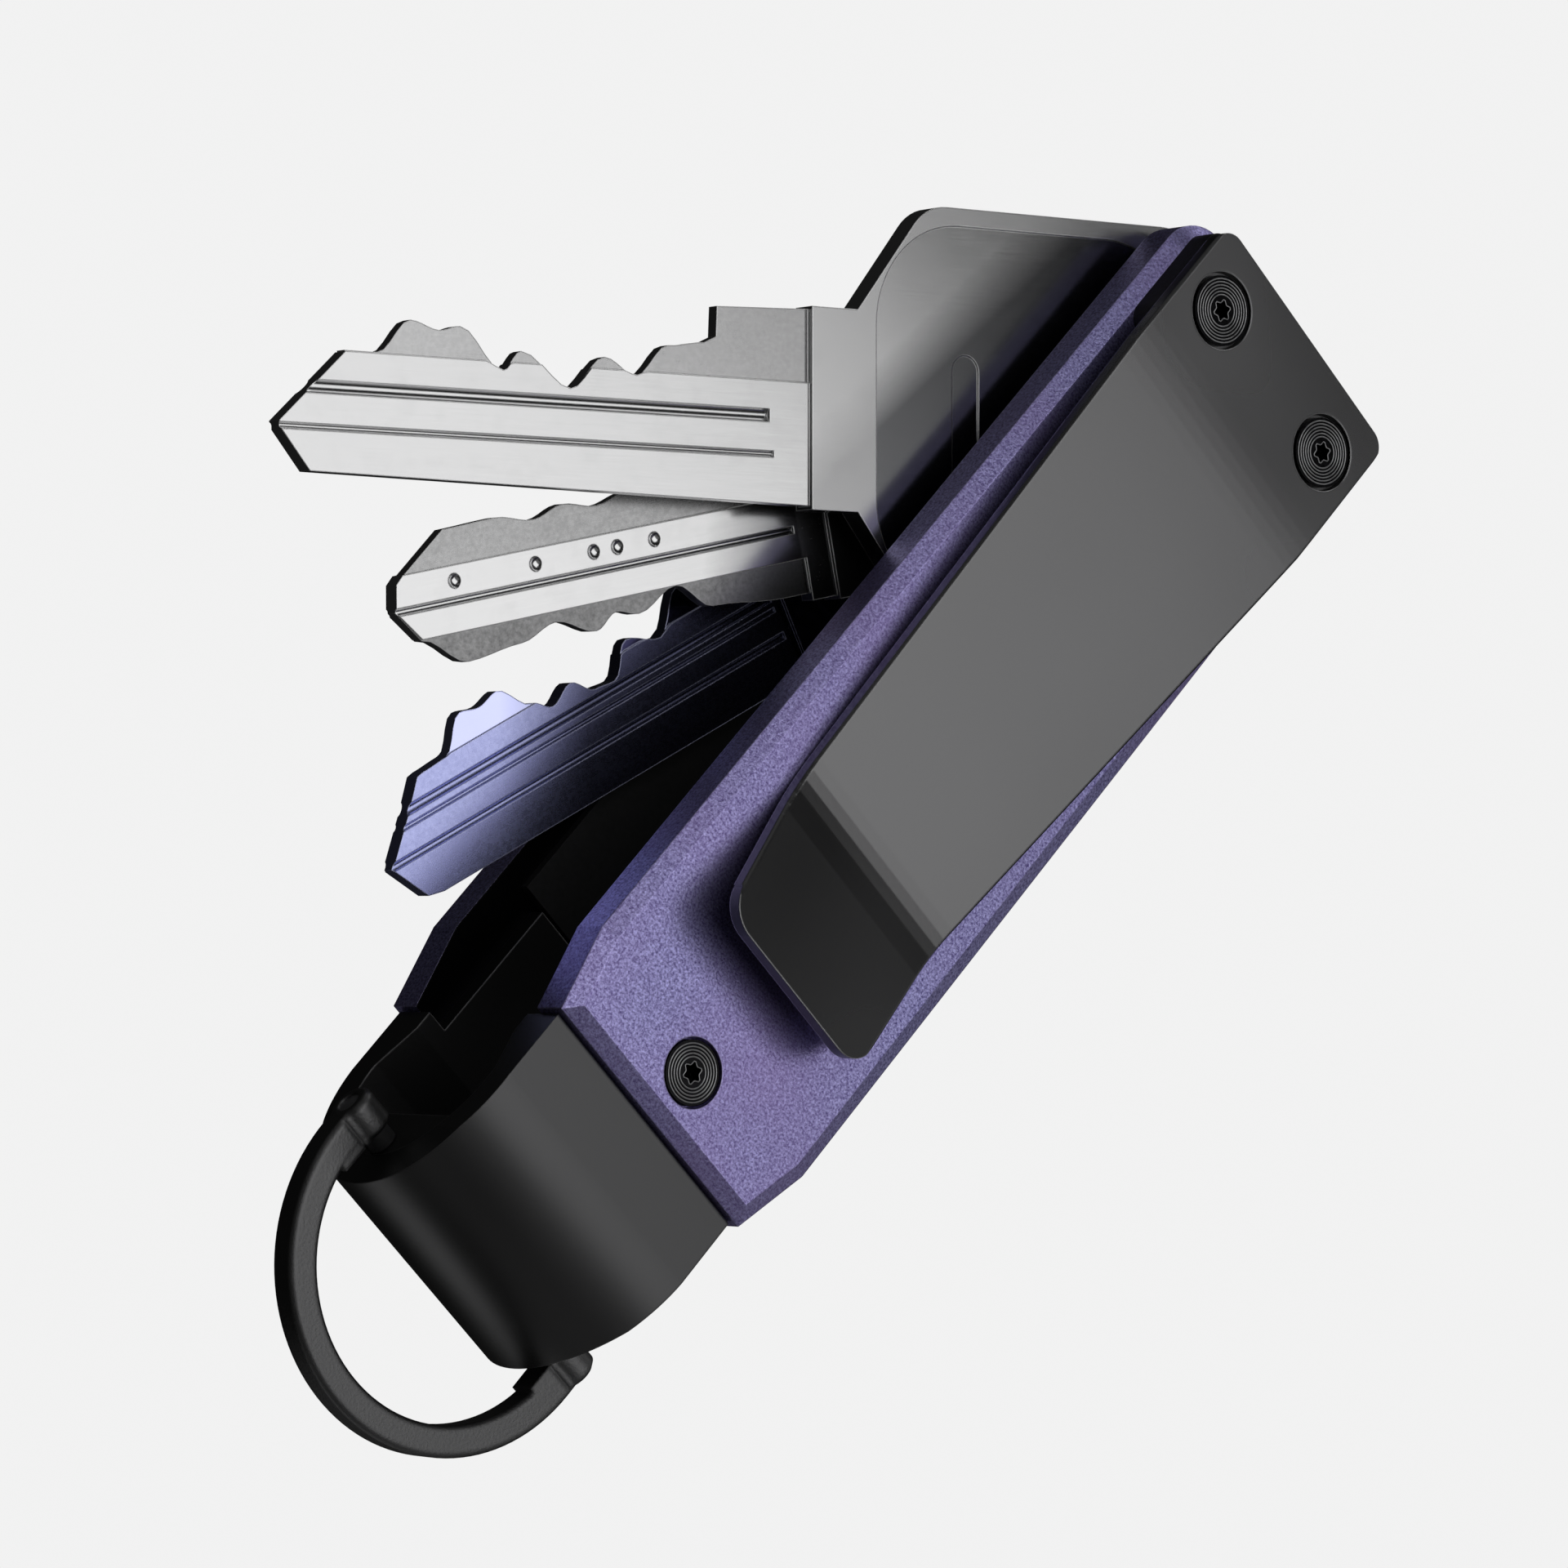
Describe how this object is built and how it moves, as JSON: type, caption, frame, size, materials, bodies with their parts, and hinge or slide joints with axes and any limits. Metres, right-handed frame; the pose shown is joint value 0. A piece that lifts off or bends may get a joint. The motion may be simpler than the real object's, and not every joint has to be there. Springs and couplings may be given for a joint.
{
  "type": "key organiser",
  "caption": "Two bevelled covers joined by a looped end frame, holding keys that fan out from one pivot post, with a pocket clip and a swinging D-ring.",
  "frame": {"origin": "middle of the back cover's flat outer face", "axes": "+X across the covers, +Y along them towards the clip end, +Z out of the front cover"},
  "size_m": [0.07, 0.117, 0.0274],
  "materials": {
    "purple_anodised": "bead-blasted purple anodising with a fine grain",
    "black_satin": "satin black anodising",
    "black_nylon": "matte black",
    "black_spring_steel": "smooth black coating on spring steel, satin sheen",
    "black_screw": "black oxide with fine turned rings",
    "brass_insert": "plain turned",
    "bare_steel": "turned, bare",
    "nickel_key": "bright nickel plating with fine brushing",
    "violet_key_coat": "bright violet-blue metallic coating",
    "white_washer": "natural low-friction plastic",
    "black_ring": "fine bead-blasted black"
  },
  "bodies": {
    "case": {"front_cover": "purple_anodised", "back_cover": "purple_anodised", "end_frame": "black_satin", "front_liner": "black_nylon", "back_liner": "black_nylon", "pocket_clip": "black_spring_steel", "clip_pad": "black_nylon", "clip_screws": "black_screw", "clip_inserts": "brass_insert", "frame_screws": "black_screw", "pivot_post": "bare_steel", "pivot_screws": "black_screw", "spring_washer": "bare_steel", "upper_spacer": "bare_steel", "lower_spacer": "bare_steel", "back_spacer": "bare_steel", "friction_washers": "white_washer", "ring_bushes": "black_nylon", "ring_saddle": "black_satin"},
    "long_key_body": {"long_key": "nickel_key"},
    "dimple_key_body": {"dimple_key": "nickel_key"},
    "violet_key_body": {"violet_key": "violet_key_coat"},
    "ring_body": {"d_ring": "black_ring", "ring_pin": "bare_steel"}
  },
  "joints": [
    {"name": "long_key_swing", "type": "hinge", "parent": "case", "child": "long_key_body", "pos_m": [0, 0.029, 0.0163], "axis": [0, 0, 1], "range_deg": [-135.3, 44.7]},
    {"name": "dimple_key_swing", "type": "hinge", "parent": "case", "child": "dimple_key_body", "pos_m": [0, 0.029, 0.0115], "axis": [0, 0, 1], "range_deg": [-147, 33]},
    {"name": "violet_key_swing", "type": "hinge", "parent": "case", "child": "violet_key_body", "pos_m": [0, 0.029, 0.0067], "axis": [0, 0, 1], "range_deg": [-162, 18]},
    {"name": "ring_swing", "type": "hinge", "parent": "case", "child": "ring_body", "pos_m": [0, -0.0562, 0.0115], "axis": [1, 0, 0], "range_deg": [-75, 75]}
  ]
}
